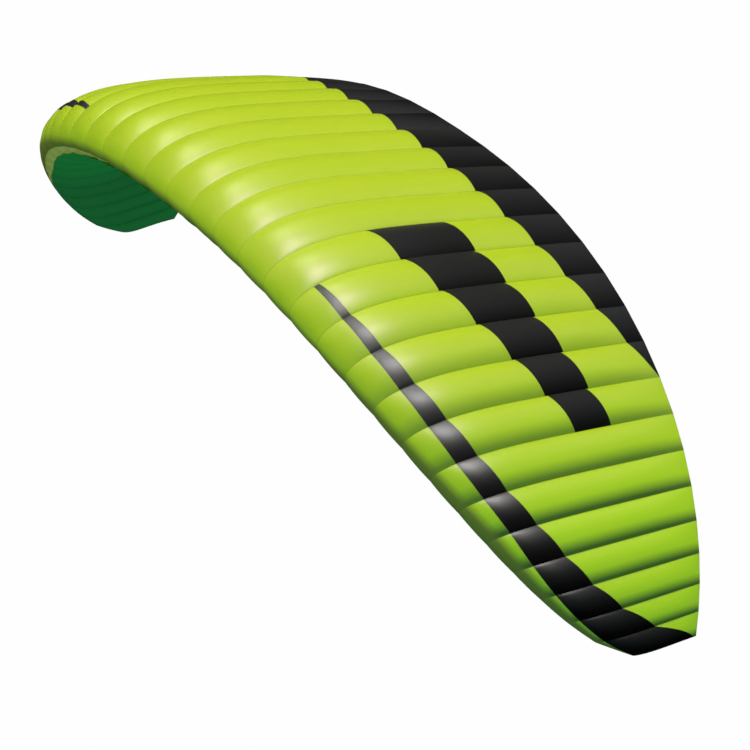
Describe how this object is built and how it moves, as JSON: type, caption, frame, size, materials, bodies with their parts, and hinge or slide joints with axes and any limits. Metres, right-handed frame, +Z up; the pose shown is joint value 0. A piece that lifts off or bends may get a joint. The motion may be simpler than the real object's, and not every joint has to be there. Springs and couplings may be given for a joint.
{
  "type": "paraglider wing",
  "caption": "Inflated ram-air paraglider canopy: arched, swept at the tips, with billowed cells between ribs and open cell mouths along the nose.",
  "frame": {"origin": "on the underside of the canopy, in the middle seam of the lower sail, 30% of the middle chord behind the nose", "axes": "+X along the span to the left tip, -Y the way the wing flies, +Z up"},
  "size_m": [9.4492, 2.7648, 2.8534],
  "materials": {
    "upper_cloth": "satin coated ripstop",
    "black_cloth": "satin coated ripstop",
    "lower_cloth": "satin coated ripstop",
    "rib_cloth": "matt ripstop"
  },
  "bodies": {
    "root": {"upper_sail_left_1": "upper_cloth", "upper_sail_left_2": "upper_cloth", "upper_sail_left_3": "upper_cloth", "upper_sail_left_4": "upper_cloth", "upper_sail_left_5": "upper_cloth", "upper_sail_right_1": "upper_cloth", "upper_sail_right_2": "upper_cloth", "upper_sail_right_3": "upper_cloth", "upper_sail_right_4": "upper_cloth", "upper_sail_right_5": "upper_cloth", "lower_sail_left_1": "lower_cloth", "lower_sail_left_2": "lower_cloth", "lower_sail_left_3": "lower_cloth", "lower_sail_left_4": "lower_cloth", "lower_sail_left_5": "lower_cloth", "lower_sail_right_1": "lower_cloth", "lower_sail_right_2": "lower_cloth", "lower_sail_right_3": "lower_cloth", "lower_sail_right_4": "lower_cloth", "lower_sail_right_5": "lower_cloth", "nose_left": "upper_cloth", "nose_right": "upper_cloth", "stripe_left": "black_cloth", "stripe_right": "black_cloth", "trailing_panel": "black_cloth", "rib_00": "rib_cloth", "rib_01": "rib_cloth", "rib_02": "rib_cloth", "rib_03": "rib_cloth", "rib_04": "rib_cloth", "rib_05": "rib_cloth", "rib_06": "rib_cloth", "rib_07": "rib_cloth", "rib_08": "rib_cloth", "rib_09": "rib_cloth", "rib_10": "rib_cloth", "rib_11": "rib_cloth", "rib_12": "rib_cloth", "rib_13": "rib_cloth", "rib_14": "rib_cloth", "rib_15": "rib_cloth", "rib_16": "rib_cloth", "rib_17": "rib_cloth", "rib_18": "rib_cloth", "rib_19": "rib_cloth", "rib_20": "rib_cloth", "rib_21": "rib_cloth", "rib_22": "rib_cloth", "rib_23": "rib_cloth", "rib_24": "rib_cloth", "rib_25": "rib_cloth", "rib_26": "rib_cloth", "rib_27": "rib_cloth", "rib_28": "rib_cloth", "rib_29": "rib_cloth", "rib_30": "rib_cloth", "rib_31": "rib_cloth", "rib_32": "rib_cloth", "rib_33": "rib_cloth", "rib_34": "rib_cloth"}
  },
  "joints": []
}
